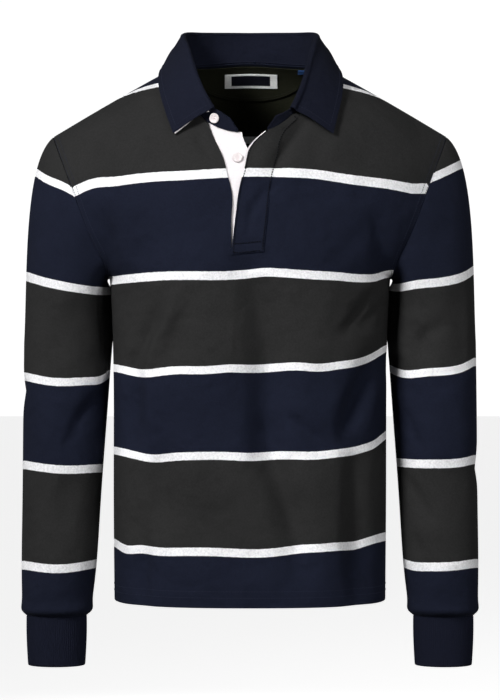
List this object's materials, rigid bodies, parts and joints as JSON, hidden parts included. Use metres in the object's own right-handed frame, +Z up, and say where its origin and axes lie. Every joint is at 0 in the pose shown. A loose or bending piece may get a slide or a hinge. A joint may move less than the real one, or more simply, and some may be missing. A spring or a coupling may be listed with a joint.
{
  "type": "polo sweater",
  "caption": "Long-sleeved striped jersey polo sweater with a turn-down collar and an open buttoned neck slit, filled out with no wearer.",
  "frame": {"origin": "between the two points where the shoulder seams meet the neck, 19 mm below them, where the wearer's shoulders hold the garment up", "axes": "+Z up, -Y out of the front, +X to the wearer's left"},
  "size_m": [0.5918, 0.2676, 0.829],
  "materials": {
    "striped_jersey": "matte",
    "olive_jersey": "matte",
    "navy_twill": "matte",
    "navy_rib": "matte",
    "white_facing": "matte",
    "label_cloth": "matte",
    "blue_tab": "matte",
    "button": "gloss"
  },
  "bodies": {
    "root": {"front": "striped_jersey", "back": "striped_jersey", "sleeve_left": "striped_jersey", "sleeve_right": "striped_jersey", "cuff_left": "navy_rib", "cuff_right": "navy_rib", "collar_stand": "navy_twill", "collar": "navy_twill", "undercollar": "white_facing", "placket_over": "striped_jersey", "placket_under": "white_facing", "neck_patch": "olive_jersey", "neck_label": "label_cloth", "size_tab": "blue_tab", "button_collar": "button", "button_placket": "button"}
  },
  "joints": []
}
